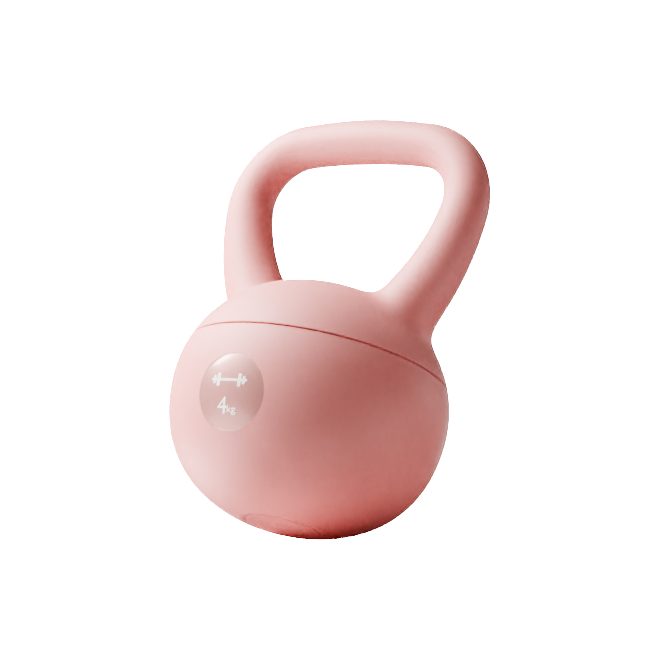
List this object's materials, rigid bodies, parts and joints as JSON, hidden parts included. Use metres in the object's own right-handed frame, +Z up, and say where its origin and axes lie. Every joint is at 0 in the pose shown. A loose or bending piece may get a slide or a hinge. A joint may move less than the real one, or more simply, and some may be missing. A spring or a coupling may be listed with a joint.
{
  "type": "soft kettlebell",
  "caption": "Sand-filled soft kettlebell with a smooth one-piece grip and dome over a soft round shell and a round front badge.",
  "frame": {"origin": "centre of the face it stands on", "axes": "+Z is up through the ball and the grip, the front with the badge looks towards -Y, the grip bar runs along X"},
  "size_m": [0.1654, 0.15, 0.2339],
  "materials": {
    "grip_plastic": "matte soft-touch",
    "soft_pvc": "matte soft-touch",
    "clear_film": "clear gloss",
    "metal_film": "satin metallised film",
    "white_ink": "printed",
    "adhesive": "tacky film",
    "iron_sand": "loose grains",
    "foam": "closed-cell foam",
    "insert_plastic": "natural",
    "stopper_rubber": "smooth",
    "pad_rubber": "fine texture"
  },
  "bodies": {
    "root": {"handle_dome": "grip_plastic", "channel_plugs": "stopper_rubber", "soft_shell": "soft_pvc", "seam_bond": "adhesive", "iron_sand": "iron_sand", "top_foam": "foam", "base_insert": "insert_plastic", "fill_plug": "insert_plastic", "plug_o_ring": "stopper_rubber", "pad_adhesive": "adhesive", "base_pad": "pad_rubber", "badge_adhesive": "adhesive", "badge_base": "metal_film", "badge_print": "white_ink", "badge_cover": "clear_film"}
  },
  "joints": []
}
